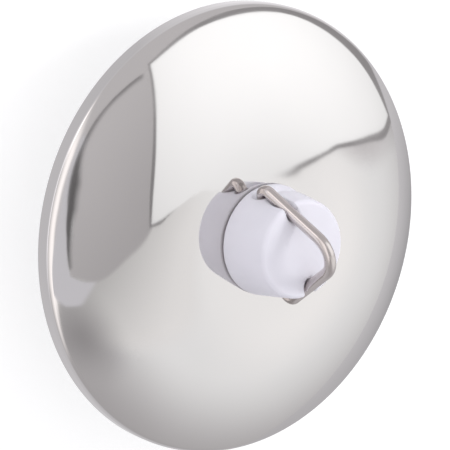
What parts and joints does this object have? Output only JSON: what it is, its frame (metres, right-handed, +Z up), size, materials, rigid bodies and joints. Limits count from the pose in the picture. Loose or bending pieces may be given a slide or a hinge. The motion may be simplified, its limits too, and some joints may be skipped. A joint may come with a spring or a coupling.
{
  "type": "drain stopper",
  "caption": "Domed polished-metal drain stopper with a stepped rubber plug below, a rubber grip knob above and a folding wire pull ring.",
  "frame": {"origin": "middle of the plug's flat foot, on the surface that the stopper stands on", "axes": "+Z up along the plug's axis towards the knob; +X along the pull ring's axle; the ring folds towards +Y"},
  "size_m": [0.076, 0.076, 0.0395],
  "materials": {
    "polished_metal": "mirror-polished pressed sheet",
    "white_rubber": "satin moulded white rubber",
    "ring_wire": "drawn round wire, satin"
  },
  "bodies": {
    "plug": {"plug": "white_rubber"},
    "cap": {"cap": "polished_metal"},
    "pull_ring": {"pull_ring": "ring_wire"}
  },
  "joints": [
    {"name": "ring_fold", "type": "hinge", "parent": "plug", "child": "pull_ring", "pos_m": [0, -0.0008, 0.02525], "axis": [-1, 0, 0], "range_deg": [0, 90]},
    {"name": "cap_turn", "type": "hinge", "parent": "plug", "child": "cap", "pos_m": [0, 0, 0.0225], "axis": [0, 0, 1], "continuous": true}
  ]
}
